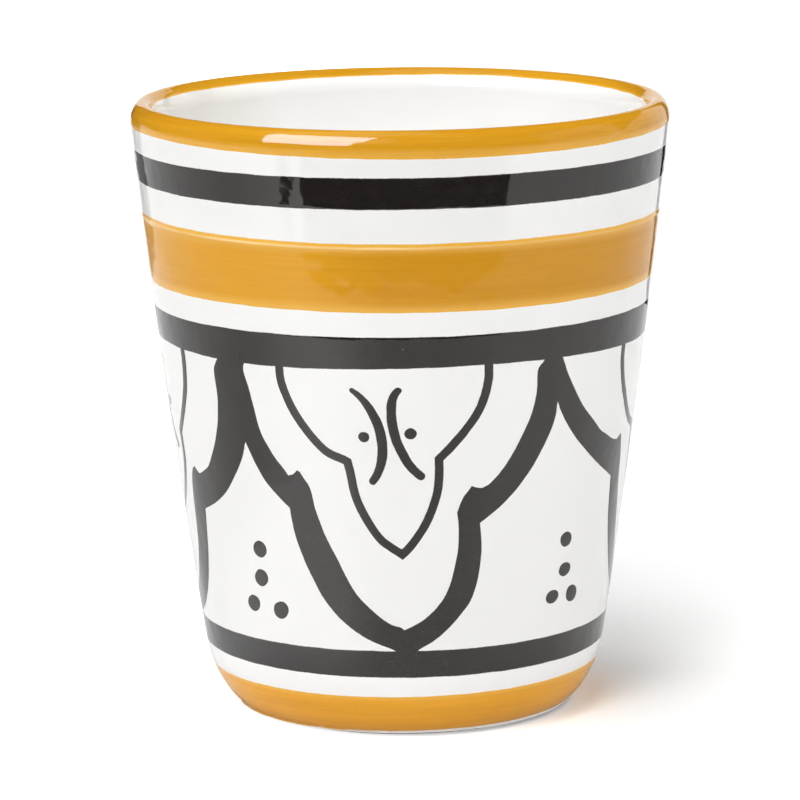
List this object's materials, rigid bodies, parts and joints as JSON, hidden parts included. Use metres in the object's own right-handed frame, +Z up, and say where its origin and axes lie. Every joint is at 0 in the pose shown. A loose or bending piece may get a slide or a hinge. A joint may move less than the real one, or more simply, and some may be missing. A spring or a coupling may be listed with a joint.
{
  "type": "ceramic cup",
  "caption": "Handle-less tapered ceramic cup with a rounded heel and lip, white glaze, mustard and black bands, and a painted frieze of lobed arches, for drinks.",
  "frame": {"origin": "centre of the bare foot ring, on the surface that the cup stands on", "axes": "+Z up along the cup's axis; -Y faces the front, where the middle of one painted arch stands"},
  "size_m": [0.0792, 0.0792, 0.09],
  "materials": {
    "bare_clay": "matt bare fired clay",
    "liner_glaze": "glossy warm white glaze",
    "white_glaze": "glossy white glaze",
    "mustard_paint": "glossy brushed mustard glaze paint",
    "black_paint": "glossy brushed black glaze paint"
  },
  "bodies": {
    "root": {"clay_body": "bare_clay", "liner_glaze": "liner_glaze", "outer_glaze": "white_glaze", "rim_band": "mustard_paint", "upper_black_band": "black_paint", "wide_mustard_band": "mustard_paint", "frieze_top_band": "black_paint", "arch_strokes": "black_paint", "pendant_strokes": "black_paint", "crescent_strokes": "black_paint", "pendant_dots": "black_paint", "dot_clusters": "black_paint", "base_black_band": "black_paint", "foot_mustard_band": "mustard_paint"}
  },
  "joints": []
}
